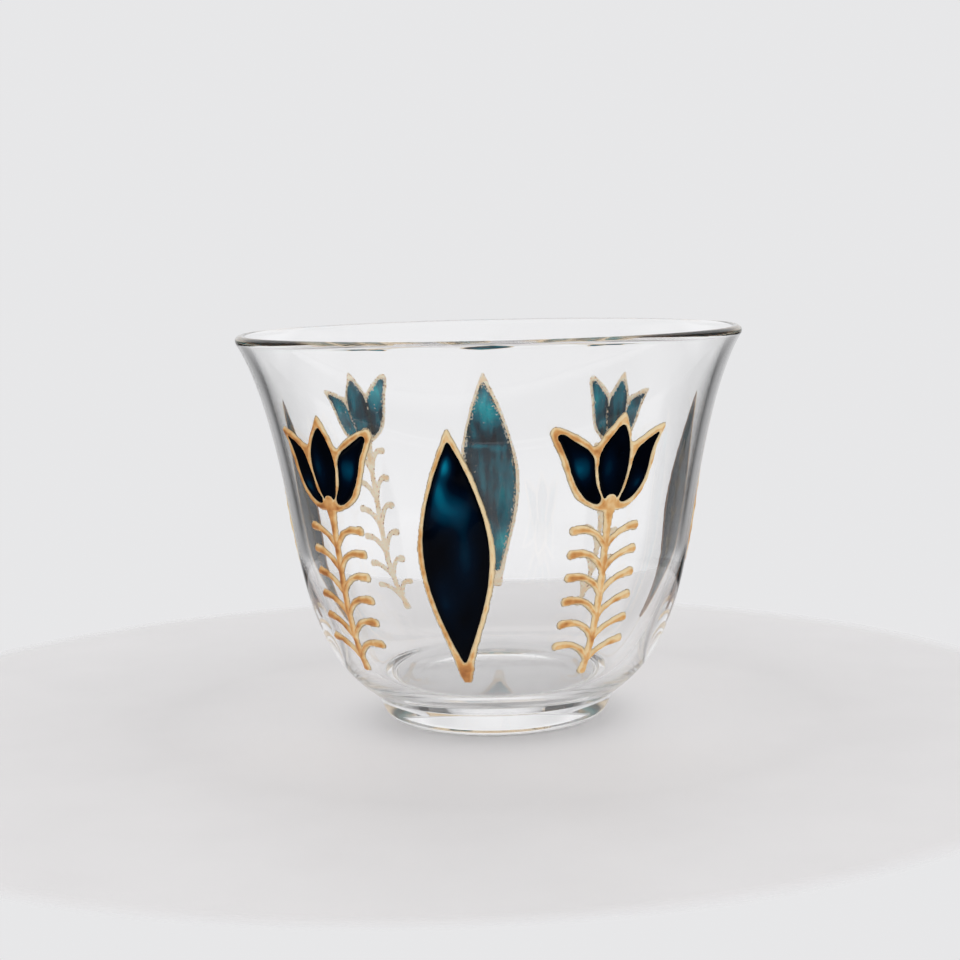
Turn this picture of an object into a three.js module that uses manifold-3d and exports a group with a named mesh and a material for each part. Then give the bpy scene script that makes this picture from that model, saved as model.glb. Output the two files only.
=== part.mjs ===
// Small flared coffee glass with tulips and leaves painted on it in raised gold line and teal paint.
// Millimetres, +Z up. The origin is the centre of the foot on the table. The front faces -Y.
import * as THREE from 'three';
import { mergeVertices } from 'three/addons/utils/BufferGeometryUtils.js';
import { TessellateModifier } from 'three/addons/modifiers/TessellateModifier.js';
import Module from 'manifold-3d';

const wasm = await Module();
wasm.setup();

// Outside of the glass, from the table up
const cupHeight = 58.3;
const rimDiameter = 75;
const rimThickness = 1.6;
const waistRadius = 29.45;
const waistHeight = 26.8;
const heelRadius = 17.95;
const heelHeight = 3.8;
const heelRounding = 0.15;
const footRadius = 16.3;
const footEdgeRounding = 2.0;
const restRingWidth = 2.0;
const recessDepth = 0.3;

// Inside of the glass
const wallThickness = 1.3;
const floorHeight = 6.2;
const floorFlatRadius = 15.5;

// How the wall runs between those sizes: radius gained for height gained, and fullness of each curve
const waistSlopeShare = 0.165;
const rimSlopeShare = 0.59;
const bowlHeelShares = [0.52, 0.175];
const bowlWaistShare = 0.57;
const lipWaistShare = 0.36;
const lipRimShare = 0.225;
const innerLipRimShare = 0.225;
const innerLipWaistShare = 0.36;
const innerBowlWaistShare = 0.5;
const innerBowlFloorShare = 0.45;

// Rings of the shallow dome under the foot: share of the way from the axis to the resting ring
const domeShares = [0, 0.3, 0.6, 0.85, 1];

// Raised ornament: gold line and teal pools
const goldLineHeight = 0.42;
const goldLineRounding = 0.14;
const paintHeight = 0.2;
const paintCrown = 0.1;
const paintToGlass = 0.08;
const paintToLine = 0.06;

// Ornament sizes that run up the wall are measured along it, from the heel or from the rim

// Leaf: a pointed pool inside a gold line that closes solid at both tips
const leafBottom = 8.9;
const leafToRim = 11.55;
const leafHalfWidth = 5.35;
const leafLineWidth = 0.8;
const leafSolidBottom = 3.6;
const leafSolidTop = 1.75;
const leafTipRound = 0.9;

// Tulip: three petals, the side petals unlike, on a stem with leaflets
const tulipToRim = 10.05;
const tulipHeight = 13.6;
const tulipReach = 10.0;
const stemBottom = 10.0;
const stemWidth = 1.04;
const stemFootWidth = 1.4;
const calyxWidth = 2.3;
const leafletReach = 5.1;
const leafletRise = 2.9;
const leafletWidth = 0.8;
const leafletTipWidth = 1.24;
const firstLeafletAbove = 1.6;
const leafletPitch = 3.4;

// How the stem bows and how its leaflets bend: shares of the sway, the leaflet's reach and the leaflet's rise
const stemBowShare = 0.25;
const leafletBendShare = 0.3;
const broadSideArchShare = 1.2;
const slimSideArchShare = 0.9;

// Fineness of the faceted surfaces
const turns = 56;
const footEdgeSteps = 3;
const heelSteps = 2;
const outerBowlSteps = 8;
const outerLipSteps = 7;
const rimSteps = 7;
const innerLipSteps = 5;
const innerBowlSteps = 8;
const capSteps = 3;
const stemSteps = 6;
const leafletSteps = 3;
const paintStep = 3.4;
const mostDivisions = 8;

// Edge of half a leaf, bottom to top: share of the length, share of the half width
const leafEdgeShares = [
  [0, 0], [0.012, 0.12], [0.11, 0.27], [0.2, 0.46], [0.32, 0.74], [0.42, 0.91], [0.52, 1],
  [0.6, 0.95], [0.69, 0.82], [0.82, 0.55], [0.91, 0.3], [0.98, 0.09], [1, 0],
];
const leafPoolShares = [
  [0, 0], [0.015, 0.08], [0.06, 0.2], [0.15, 0.44], [0.27, 0.72], [0.38, 0.91], [0.5, 1],
  [0.6, 0.96], [0.7, 0.83], [0.82, 0.57], [0.91, 0.32], [0.975, 0.11], [1, 0],
];
const leafSpineShares = [0.5, 0];

// Outlines of the tulip: share of its reach, share of its height, share of the lean of the middle tip
const tulipEdgeShares = [
  [0.12, -0.02, 0], [0.36, 0.045, 0], [0.56, 0.155, 0], [0.7, 0.36, 0], [0.82, 0.565, 0],
  [0.97, 0.76, 0], [1, 0.85, 0], [0.94, 0.885, 0], [0.79, 0.85, 0], [0.6, 0.785, 0],
  [0.44, 0.71, 0], [0.32, 0.66, 0], [0.2, 0.8, 0.4], [0.1, 0.92, 0.8], [0, 1, 1],
  [-0.1, 0.9, 0.8], [-0.2, 0.78, 0.4], [-0.28, 0.68, 0], [-0.44, 0.72, 0], [-0.64, 0.795, 0],
  [-0.88, 0.845, 0], [-0.85, 0.765, 0], [-0.77, 0.62, 0], [-0.695, 0.39, 0], [-0.56, 0.16, 0],
  [-0.32, 0.01, 0], [-0.12, -0.02, 0],
];
const broadPetalShares = [
  [0.89, 0.785, 0], [0.82, 0.805, 0], [0.62, 0.715, 0], [0.44, 0.635, 0], [0.33, 0.535, 0],
  [0.295, 0.4, 0], [0.25, 0.255, 0], [0.16, 0.12, 0], [0.21, 0.06, 0], [0.38, 0.11, 0],
  [0.52, 0.23, 0], [0.63, 0.38, 0], [0.72, 0.55, 0], [0.82, 0.685, 0],
];
const centrePetalShares = [
  [0, 0.875, 0.9], [0.13, 0.755, 0.5], [0.23, 0.6, 0.1], [0.24, 0.425, 0], [0.19, 0.255, 0],
  [0.1, 0.11, 0], [-0.095, 0.105, 0], [-0.2, 0.26, 0], [-0.245, 0.435, 0], [-0.235, 0.595, 0.1],
  [-0.15, 0.755, 0.5],
];
const slimPetalShares = [
  [-0.77, 0.755, 0], [-0.56, 0.69, 0], [-0.39, 0.605, 0], [-0.32, 0.465, 0], [-0.275, 0.315, 0],
  [-0.215, 0.18, 0], [-0.15, 0.095, 0], [-0.22, 0.06, 0], [-0.38, 0.11, 0], [-0.53, 0.225, 0],
  [-0.62, 0.375, 0], [-0.655, 0.525, 0], [-0.71, 0.655, 0],
];

// Where each leaf stands round the cup, in degrees from the front towards +X, and how it differs from the
// common size: lean and width are shares of the half width, raise is a share of the length.
const leaves = [
  { name: 'front_leaf', bearing: -9.3, leanShare: -0.09, widthShare: 1, raiseShare: 0 },
  { name: 'right_leaf', bearing: 98.5, leanShare: 0.06, widthShare: 1.01, raiseShare: 0.04 },
  { name: 'back_leaf', bearing: 178.5, leanShare: 0.38, widthShare: 0.94, raiseShare: 0.115 },
  { name: 'left_leaf', bearing: -99.5, leanShare: 0.04, widthShare: 0.99, raiseShare: 0.04 },
];

// How the stem and leaflets of a tulip differ from the common sizes
const frontTwig = {
  pitchShare: 1, riseShare: 1, broadReachShare: 1, slimReachShare: 1, lineShare: 1,
};
const backTwig = {
  pitchShare: 1.35, riseShare: 1.25, broadReachShare: 0.5, slimReachShare: 0.7, lineShare: 0.8,
};

// The same for the tulips. broadSide is 1 where the broad petal is on the right; lean and sway are shares of
// the reach, raise is a share of the flower's height, and a tilt in degrees turns the flower to the right.
const tulips = [
  {
    name: 'front_left_tulip', bearing: -46.7, broadSide: 1, leanShare: 0.08, swayShare: -0.06,
    reachShare: 1, heightShare: 1, raiseShare: 0, tilt: 0, twig: frontTwig,
  },
  {
    name: 'front_right_tulip', bearing: 31.5, broadSide: -1, leanShare: -0.09, swayShare: 0.09,
    reachShare: 1, heightShare: 1, raiseShare: 0, tilt: 0, twig: frontTwig,
  },
  {
    name: 'back_right_tulip', bearing: 140.5, broadSide: 1, leanShare: 0.03, swayShare: 0.16,
    reachShare: 0.68, heightShare: 0.86, raiseShare: 0.34, tilt: -7, twig: backTwig,
  },
  {
    name: 'back_left_tulip', bearing: -139.4, broadSide: -1, leanShare: 0.04, swayShare: 0.16,
    reachShare: 0.74, heightShare: 0.86, raiseShare: 0.41, tilt: 8, twig: backTwig,
  },
];

const glassMaterial = () => new THREE.MeshStandardMaterial({
  name: 'clear_glass', color: 0xe9efee, roughness: 0.04, metalness: 0, transparent: true, opacity: 0.4,
});
const goldMaterial = () => new THREE.MeshStandardMaterial({
  name: 'gold_line', color: 0xcf9440, roughness: 0.38, metalness: 0.55,
});
const tealMaterial = () => new THREE.MeshStandardMaterial({
  name: 'teal_paint', color: 0x053a45, roughness: 0.12, metalness: 0,
});

// Curves of the wall, each point as (radius, height)
const rimRadius = rimDiameter / 2;
const rimRound = rimThickness / 2;
const rimCentre = new THREE.Vector2(rimRadius - rimRound, cupHeight - rimRound);
const waist = new THREE.Vector2(waistRadius, waistHeight);
const heel = new THREE.Vector2(heelRadius, heelHeight);
const waistRun = new THREE.Vector2(waistSlopeShare, 1);
const rimRun = new THREE.Vector2(rimSlopeShare, 1);
const rimNormal = new THREE.Vector2(1, -rimSlopeShare).normalize();

function along(point, direction, distance) {
  return point.clone().addScaledVector(direction, distance);
}

// Bezier from one place to another that leaves and arrives along given control arms
function wallCurve(from, armFrom, armTo, to) {
  return new THREE.CubicBezierCurve(from, from.clone().add(armFrom), to.clone().add(armTo), to);
}

function outerCurves() {
  const bowlSpan = waist.clone().sub(heel);
  const bowlArm = new THREE.Vector2(...bowlHeelShares).multiply(bowlSpan);
  const bowl = wallCurve(
    along(heel, bowlArm.clone().normalize(), heelRounding), bowlArm,
    waistRun.clone().multiplyScalar(-bowlWaistShare * bowlSpan.y), waist,
  );
  const rimOutside = along(rimCentre, rimNormal, rimRound);
  const lipRise = rimOutside.y - waistHeight;
  const lip = wallCurve(
    waist, waistRun.clone().multiplyScalar(lipWaistShare * lipRise),
    rimRun.clone().multiplyScalar(-lipRimShare * lipRise), rimOutside,
  );
  return { bowl, lip };
}

function innerCurves() {
  const innerWaist = new THREE.Vector2(waistRadius - wallThickness, waistHeight);
  const rimInside = along(rimCentre, rimNormal, -rimRound);
  const lipRise = rimInside.y - waistHeight;
  const lip = wallCurve(
    rimInside, rimRun.clone().multiplyScalar(-innerLipRimShare * lipRise),
    waistRun.clone().multiplyScalar(innerLipWaistShare * lipRise), innerWaist,
  );
  const floorEdge = new THREE.Vector2(floorFlatRadius, floorHeight);
  const bowlSpan = innerWaist.clone().sub(floorEdge);
  const bowl = wallCurve(
    innerWaist, waistRun.clone().multiplyScalar(-innerBowlWaistShare * bowlSpan.y),
    new THREE.Vector2(innerBowlFloorShare * bowlSpan.x, 0), floorEdge,
  );
  return { lip, bowl };
}

const outer = outerCurves();
const inner = innerCurves();
const outerWall = new THREE.CurvePath();
outerWall.add(outer.bowl);
outerWall.add(outer.lip);

// Heights along the wall, from the heel
const wallLength = outerWall.getLength();
const wallEnd = heelRounding + wallLength;
const leafLength = wallEnd - leafToRim - leafBottom;
const tulipBottom = wallEnd - tulipToRim - tulipHeight;

// Shallow dome inside the resting ring, round edge of the foot, sloping side and small fillet into the bowl
function footPoints() {
  const corner = new THREE.Vector2(footRadius, 0);
  const side = heel.clone().sub(corner).normalize();
  const ringOutside = footRadius - footEdgeRounding;
  const ringInside = ringOutside - restRingWidth;
  const dome = domeShares.map((share) => (
    new THREE.Vector2(share * ringInside, recessDepth * (1 - share * share))
  ));
  const rounding = new THREE.QuadraticBezierCurve(
    new THREE.Vector2(ringOutside, 0), corner, along(corner, side, footEdgeRounding),
  );
  const fillet = new THREE.QuadraticBezierCurve(
    along(heel, side, -heelRounding), heel, outer.bowl.getPoint(0),
  );
  return [...dome, ...rounding.getPoints(footEdgeSteps), ...fillet.getPoints(heelSteps)];
}

// Half round of the rim, from the outside over the crest to the inside
function rimPoints() {
  const start = rimNormal.angle();
  const arc = new THREE.EllipseCurve(rimCentre.x, rimCentre.y, rimRound, rimRound, start, start + Math.PI);
  return arc.getPoints(rimSteps);
}

function makeGlassBody() {
  const profile = [
    ...footPoints(),
    ...outer.bowl.getSpacedPoints(outerBowlSteps).slice(1),
    ...outer.lip.getSpacedPoints(outerLipSteps).slice(1, -1),
    ...rimPoints(),
    ...inner.lip.getSpacedPoints(innerLipSteps).slice(1, -1),
    ...inner.bowl.getSpacedPoints(innerBowlSteps),
    new THREE.Vector2(0, floorHeight),
  ];
  const geometry = new THREE.LatheGeometry(profile, turns);
  geometry.rotateX(Math.PI / 2);
  return geometry;
}

// Lays flat ornament on the cup: x runs round the wall, y up along it from the heel, z out from it
function wrapOnCup(geometry, bearing) {
  const facing = THREE.MathUtils.degToRad(bearing);
  const position = geometry.attributes.position;
  for (let i = 0; i < position.count; i += 1) {
    const share = (position.getY(i) - heelRounding) / wallLength;
    const place = outerWall.getPoint(share);
    const run = outerWall.getTangent(share);
    const lift = position.getZ(i) + paintToGlass;
    const angle = facing + position.getX(i) / place.x;
    const radius = place.x + lift * run.y;
    position.setXYZ(i, radius * Math.sin(angle), -radius * Math.cos(angle), place.y - lift * run.x);
  }
  geometry.computeVertexNormals();
  return geometry;
}

// Points only, with shared corners merged
function merged(geometry) {
  const plain = geometry.clone();
  plain.deleteAttribute('normal');
  plain.deleteAttribute('uv');
  return mergeVertices(plain);
}

function toSolid(geometry) {
  const plain = merged(geometry);
  return new wasm.Manifold(new wasm.Mesh({
    numProp: 3,
    vertProperties: new Float32Array(plain.attributes.position.array),
    triVerts: new Uint32Array(plain.index.array),
  }));
}

function toGeometry(solid) {
  const mesh = solid.getMesh();
  const geometry = new THREE.BufferGeometry();
  geometry.setAttribute('position', new THREE.BufferAttribute(mesh.vertProperties, 3));
  geometry.setIndex(new THREE.BufferAttribute(mesh.triVerts, 1));
  return geometry;
}

// Short edges, so that the flat ornament can follow the round wall
function divided(geometry) {
  return mergeVertices(new TessellateModifier(paintStep, mostDivisions).modify(merged(geometry)));
}

// A flat plate of gold line: upright sides, rounded-off top edges and a flat back
function goldPlate(shape) {
  const geometry = new THREE.ExtrudeGeometry(shape, {
    depth: goldLineHeight - goldLineRounding,
    bevelThickness: goldLineRounding,
    bevelSize: goldLineRounding,
    bevelOffset: -goldLineRounding,
    bevelSegments: 1,
  });
  const position = geometry.attributes.position;
  for (let i = 0; i < position.count; i += 1) {
    position.setZ(i, Math.max(position.getZ(i), 0));
  }
  return toSolid(geometry);
}

function paintPlate(outline) {
  const shape = new THREE.Shape(inset(outline, paintToLine));
  return new THREE.ExtrudeGeometry(shape, { depth: paintHeight, bevelEnabled: false });
}

// Moves each point of a counterclockwise outline inwards by a distance, along the mean of its two sides
function inset(outline, distance) {
  return outline.map((point, i) => {
    const before = outline[(i + outline.length - 1) % outline.length];
    const after = outline[(i + 1) % outline.length];
    const run = after.clone().sub(before).normalize();
    return new THREE.Vector2(point.x - run.y * distance, point.y + run.x * distance);
  });
}

// The outline in counterclockwise order, also where the motif is mirrored
function counterclockwise(outline) {
  return THREE.ShapeUtils.isClockWise(outline) ? outline.reverse() : outline;
}

function plateWithPools(outline, pools) {
  const shape = new THREE.Shape(outline);
  pools.forEach((pool) => shape.holes.push(new THREE.Path(pool)));
  return goldPlate(shape);
}

// A line drawn along a curve, as wide as its widths say, with a rounded far end
function drawnLine(curve, halfWidths) {
  const last = halfWidths.length - 1;
  const left = [];
  const right = [];
  halfWidths.forEach((halfWidth, i) => {
    const place = curve.getPoint(i / last);
    const run = curve.getTangent(i / last);
    const side = new THREE.Vector2(-run.y, run.x);
    left.push(along(place, side, halfWidth));
    right.unshift(along(place, side, -halfWidth));
  });
  const end = curve.getPoint(1);
  const run = curve.getTangent(1);
  const facing = run.angle();
  const cap = new THREE.EllipseCurve(
    end.x, end.y, halfWidths[last], halfWidths[last], facing + Math.PI / 2, facing - Math.PI / 2, true,
  );
  return goldPlate(new THREE.Shape([...left, ...cap.getPoints(capSteps).slice(1, -1), ...right]));
}

// Lifts an outline to a height above the glass
function lifted(outline, height) {
  return outline.map((point) => new THREE.Vector3(point.x, point.y, height));
}

// Bands of facets between neighbouring rings that have equally many points
function bandsBetween(rings) {
  const count = rings[0].length;
  const facets = [];
  for (let ring = 1; ring < rings.length; ring += 1) {
    for (let i = 0; i < count; i += 1) {
      const low = (ring - 1) * count;
      const high = ring * count;
      const next = (i + 1) % count;
      facets.push(low + i, low + next, high + next, low + i, high + next, high + i);
    }
  }
  const geometry = new THREE.BufferGeometry().setFromPoints(rings.flat());
  geometry.setIndex(facets);
  return mergeVertices(geometry);
}

// Gold line between two matching outlines, its top edges rounded off
function leafLine(edge, pool) {
  const shoulder = goldLineHeight - goldLineRounding;
  const start = lifted(edge, 0);
  return bandsBetween([
    start,
    lifted(edge, shoulder),
    lifted(inset(edge, goldLineRounding), goldLineHeight),
    lifted(inset(pool, -goldLineRounding), goldLineHeight),
    lifted(pool, shoulder),
    lifted(pool, 0),
    start,
  ]);
}

// Paint that fills an outline and stands highest along its spine
function leafPaint(outlineAt) {
  const across = [1, ...leafSpineShares];
  const rings = across.map((share) => outlineAt(share));
  const bottom = rings.map((ring) => lifted(ring, 0)).reverse();
  const top = rings.map((ring, i) => lifted(ring, paintHeight + paintCrown * (1 - across[i])));
  return bandsBetween([...bottom, ...top]);
}

function leafOutline(edgeShares, bottom, length, halfWidth, lean) {
  const rightSide = edgeShares.map(([rise, width]) => (
    new THREE.Vector2(lean * rise + width * halfWidth, bottom + rise * length)
  ));
  const leftSide = edgeShares.slice(1, -1).reverse().map(([rise, width]) => (
    new THREE.Vector2(lean * rise - width * halfWidth, bottom + rise * length)
  ));
  return counterclockwise([...rightSide, ...leftSide]);
}

function makeLeaf({ name, bearing, leanShare, widthShare, raiseShare }) {
  const lean = leanShare * leafHalfWidth;
  const halfWidth = leafHalfWidth * widthShare;
  const bottom = leafBottom + raiseShare * leafLength;
  const edge = leafOutline(leafEdgeShares, bottom, leafLength, halfWidth, lean);
  const poolLength = leafLength - leafSolidBottom - leafSolidTop;
  const poolHalfWidth = halfWidth - leafLineWidth;
  const poolBottom = bottom + leafSolidBottom;
  const pool = leafOutline(leafPoolShares, poolBottom, poolLength, poolHalfWidth, lean);
  const paint = leafPaint((share) => leafOutline(
    leafPoolShares, poolBottom + paintToLine + leafTipRound * (1 - share),
    poolLength - 2 * paintToLine - 2 * leafTipRound * (1 - share),
    (poolHalfWidth - paintToLine) * share, lean,
  ));
  return [
    makeMesh(`${name}_gold_line`, wrapOnCup(leafLine(edge, pool), bearing), goldMaterial()),
    makeMesh(`${name}_teal_paint`, wrapOnCup(paint, bearing), tealMaterial()),
  ];
}

// Where the flower meets its stem
function headFoot({ raiseShare }) {
  return new THREE.Vector2(0, tulipBottom + raiseShare * tulipHeight);
}

// Outline of the flower or of a petal, turned about the flower's foot by its tilt
function tulipOutline(shares, tulip) {
  const foot = headFoot(tulip);
  const reach = tulipReach * tulip.reachShare;
  const height = tulipHeight * tulip.heightShare;
  const turn = THREE.MathUtils.degToRad(-tulip.tilt);
  const points = shares.map(([across, up, lean]) => {
    const x = tulip.broadSide * (across + lean * tulip.leanShare) * reach;
    return new THREE.Vector2(x, foot.y + up * height).rotateAround(foot, turn);
  });
  return counterclockwise(points);
}

// Stem from inside the calyx down to its foot, with a slight bow
function stemCurve(tulip) {
  const sway = tulip.broadSide * tulip.swayShare * tulipReach;
  const top = headFoot(tulip).y + stemWidth;
  const middle = (top + stemBottom) / 2;
  return new THREE.QuadraticBezierCurve(
    new THREE.Vector2(0, top), new THREE.Vector2(sway * stemBowShare, middle),
    new THREE.Vector2(sway, stemBottom),
  );
}

// The same width at every step of a line but at its two ends
function evenWidths(start, between, end, steps) {
  return [start, ...Array(steps - 1).fill(between), end];
}

// One leaflet: rises off the stem, arches outwards and ends in a round drop
function leaflet(joint, side, reachShare, archShare, twig) {
  const reach = side * leafletReach * reachShare;
  const rise = leafletRise * twig.riseShare;
  const curve = new THREE.QuadraticBezierCurve(
    joint,
    new THREE.Vector2(joint.x + leafletBendShare * reach, joint.y + archShare * rise),
    new THREE.Vector2(joint.x + reach, joint.y + rise),
  );
  const half = leafletWidth * twig.lineShare / 2;
  const tipHalf = leafletTipWidth * twig.lineShare / 2;
  return drawnLine(curve, evenWidths(half, half, tipHalf, leafletSteps));
}

function stemAndLeaflets(tulip) {
  const { broadSide, twig } = tulip;
  const curve = stemCurve(tulip);
  const half = stemWidth * twig.lineShare / 2;
  const footHalf = stemFootWidth * twig.lineShare / 2;
  let solid = drawnLine(curve, evenWidths(calyxWidth / 2, half, footHalf, stemSteps));
  const stemLength = curve.getPoint(0).y - stemBottom;
  const pitch = leafletPitch * twig.pitchShare;
  const pairs = Math.floor((stemLength - firstLeafletAbove) / pitch);
  for (let pair = 0; pair < pairs; pair += 1) {
    const above = firstLeafletAbove + pair * pitch;
    const joint = curve.getPointAt(1 - above / stemLength);
    solid = solid.add(leaflet(joint, broadSide, twig.broadReachShare, broadSideArchShare, twig));
    solid = solid.add(leaflet(joint, -broadSide, twig.slimReachShare, slimSideArchShare, twig));
  }
  return solid;
}

function makeTulip(tulip) {
  const petals = {
    broad: tulipOutline(broadPetalShares, tulip),
    centre: tulipOutline(centrePetalShares, tulip),
    slim: tulipOutline(slimPetalShares, tulip),
  };
  const head = plateWithPools(tulipOutline(tulipEdgeShares, tulip), Object.values(petals));
  const line = divided(toGeometry(head.add(stemAndLeaflets(tulip))));
  const meshes = [makeMesh(`${tulip.name}_gold_line`, wrapOnCup(line, tulip.bearing), goldMaterial())];
  Object.entries(petals).forEach(([petal, outline]) => {
    const paint = wrapOnCup(divided(paintPlate(outline)), tulip.bearing);
    meshes.push(makeMesh(`${tulip.name}_${petal}_petal_paint`, paint, tealMaterial()));
  });
  return meshes;
}

function makeMesh(name, geometry, material) {
  const mesh = new THREE.Mesh(geometry, material);
  mesh.name = name;
  return mesh;
}

const cup = new THREE.Group();
cup.add(makeMesh('glass_body', makeGlassBody(), glassMaterial()));
leaves.forEach((leaf) => cup.add(...makeLeaf(leaf)));
tulips.forEach((tulip) => cup.add(...makeTulip(tulip)));

export default cup;
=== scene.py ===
"""Tulip glass: a small flared coffee glass with tulips and leaves in raised gold line and teal paint.

Lengths here are millimetres and become metres where a mesh is made. The origin is the centre of the foot on
the board, +Z is up and the front faces -Y. Round the cup, angles run from the front towards +X.
"""
import math

import bpy
import numpy as np
from mathutils import Matrix


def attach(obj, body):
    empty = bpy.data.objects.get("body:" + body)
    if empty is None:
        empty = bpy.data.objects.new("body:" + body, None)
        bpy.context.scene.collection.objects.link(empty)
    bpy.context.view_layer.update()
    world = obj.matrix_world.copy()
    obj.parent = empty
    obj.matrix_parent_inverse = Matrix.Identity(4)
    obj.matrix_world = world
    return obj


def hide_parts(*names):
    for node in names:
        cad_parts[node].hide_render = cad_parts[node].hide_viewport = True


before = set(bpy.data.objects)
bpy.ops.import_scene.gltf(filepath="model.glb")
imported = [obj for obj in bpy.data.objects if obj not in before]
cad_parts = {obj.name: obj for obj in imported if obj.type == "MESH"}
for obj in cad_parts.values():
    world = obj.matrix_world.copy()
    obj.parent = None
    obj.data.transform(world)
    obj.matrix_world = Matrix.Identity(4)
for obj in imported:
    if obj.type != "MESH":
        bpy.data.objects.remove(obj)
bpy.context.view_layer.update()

MM = 0.001

# Wall of the glass
CUP_HEIGHT = 58.3
RIM_RADIUS = 37.5
RIM_ROUND = 0.8
WAIST = np.array([29.45, 26.8])
HEEL = np.array([17.95, 3.8])
HEEL_ROUNDING = 0.15
FOOT_RADIUS = 16.3
FOOT_EDGE = 2.0
REST_RING = 2.0
RECESS_DEPTH = 0.3
WALL = 1.3
FLOOR_HEIGHT = 6.2
FLOOR_FLAT = 15.5

# Directions of the wall at the waist and the rim, and the arms of its curves as shares of what they span
WAIST_RUN = np.array([0.165, 1.0])
RIM_RUN = np.array([0.59, 1.0])
HEEL_ARM_SHARES = np.array([0.52, 0.175])
BOWL_ARM_SHARE = 0.57
LIP_ARM_SHARE = 0.36
RIM_ARM_SHARE = 0.225
WAIST_ARM_SHARE = 0.5
FLOOR_ARM_SHARE = 0.45

# Fineness of the glass
FOOT_STEPS = 24
CORNER_STEPS = 10
WALL_STEPS = 90
RIM_STEPS = 26
FLOOR_STEPS = 6
GLASS_TURNS = 192


def unit(vector):
    """The same direction with a length of one, for two parts."""
    return vector / np.hypot(*vector)


def cubic(start, arm_out, arm_in, end, steps):
    """Curve from start to end: four places, the middle two at the arms' ends, mixed with weights
    (1-t)^3, 3t(1-t)^2, 3t^2(1-t) and t^3 for t from 0 to 1."""
    t = np.linspace(0, 1, steps)[:, None]
    near, far = start + arm_out, end + arm_in
    return (1 - t) ** 3 * start + 3 * t * (1 - t) ** 2 * near + 3 * t ** 2 * (1 - t) * far + t ** 3 * end


def quadratic(start, corner, end, steps):
    """Curve that rounds a corner: three places mixed with weights (1-t)^2, 2t(1-t) and t^2."""
    t = np.linspace(0, 1, steps)[:, None]
    return (1 - t) ** 2 * start + 2 * t * (1 - t) * corner + t ** 2 * end


def line(start, end, steps):
    """Evenly spaced places from start to end."""
    t = np.linspace(0, 1, steps)[:, None]
    return start + (end - start) * t


RIM_CENTRE = np.array([RIM_RADIUS - RIM_ROUND, CUP_HEIGHT - RIM_ROUND])
RIM_NORMAL = unit(np.array([1, -RIM_RUN[0]]))


def outer_wall(steps):
    """Bowl from the heel to the waist, and lip from the waist to the rim, as (radius, height)."""
    span = WAIST - HEEL
    arm = HEEL_ARM_SHARES * span
    start = HEEL + unit(arm) * HEEL_ROUNDING
    bowl = cubic(start, arm, -WAIST_RUN * BOWL_ARM_SHARE * span[1], WAIST, steps)
    rim_out = RIM_CENTRE + RIM_NORMAL * RIM_ROUND
    rise = rim_out[1] - WAIST[1]
    lip = cubic(WAIST, WAIST_RUN * LIP_ARM_SHARE * rise, -RIM_RUN * RIM_ARM_SHARE * rise, rim_out, steps)
    return bowl, lip


def inner_wall(steps):
    """Lip from the rim down to the waist, and bowl from the waist to the flat of the floor."""
    waist = WAIST - np.array([WALL, 0])
    rim_in = RIM_CENTRE - RIM_NORMAL * RIM_ROUND
    rise = rim_in[1] - waist[1]
    lip = cubic(rim_in, -RIM_RUN * RIM_ARM_SHARE * rise, WAIST_RUN * LIP_ARM_SHARE * rise, waist, steps)
    floor_edge = np.array([FLOOR_FLAT, FLOOR_HEIGHT])
    span = waist - floor_edge
    along_floor = np.array([FLOOR_ARM_SHARE * span[0], 0])
    bowl = cubic(waist, -WAIST_RUN * WAIST_ARM_SHARE * span[1], along_floor, floor_edge, steps)
    return lip, bowl


def mesh_piece(name, points, faces, smooth=True):
    """A mesh from points in millimetres and rows of corners."""
    mesh = bpy.data.meshes.new(name)
    mesh.from_pydata((np.asarray(points) * MM).tolist(), [], faces)
    mesh.polygons.foreach_set("use_smooth", np.full(len(mesh.polygons), smooth))
    mesh.update()
    piece = bpy.data.objects.new(name, mesh)
    bpy.context.scene.collection.objects.link(piece)
    return piece


def revolve(profile, turns):
    """Points and faces of a profile carried once round the axis: (r, z) at angle a lies at
    (r sin a, -r cos a, z). The first and last profile points are on the axis and stay single, so both ends
    are closed."""
    angle = np.arange(turns) * 2 * np.pi / turns
    rings = profile[1:-1]
    radius, height = rings[:, 0][:, None], rings[:, 1][:, None]
    ring_points = np.stack([
        radius * np.sin(angle), -radius * np.cos(angle), np.broadcast_to(height, (len(rings), turns)),
    ], axis=-1).reshape(-1, 3)
    ends = np.array([[0, 0, profile[0, 1]], [0, 0, profile[-1, 1]]])
    here = np.arange(turns)
    after = (here + 1) % turns
    row = np.arange(len(rings) - 1)[:, None] * turns
    quads = np.stack([row + here, row + after, row + turns + after, row + turns + here], axis=-1)
    first, last = len(ring_points), len(ring_points) + 1
    top = (len(rings) - 1) * turns
    fans = [np.stack([np.full(turns, first), after, here], axis=-1),
            np.stack([top + here, top + after, np.full(turns, last)], axis=-1)]
    return np.vstack([ring_points, ends]), quads.reshape(-1, 4).tolist() + np.vstack(fans).tolist()


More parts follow.
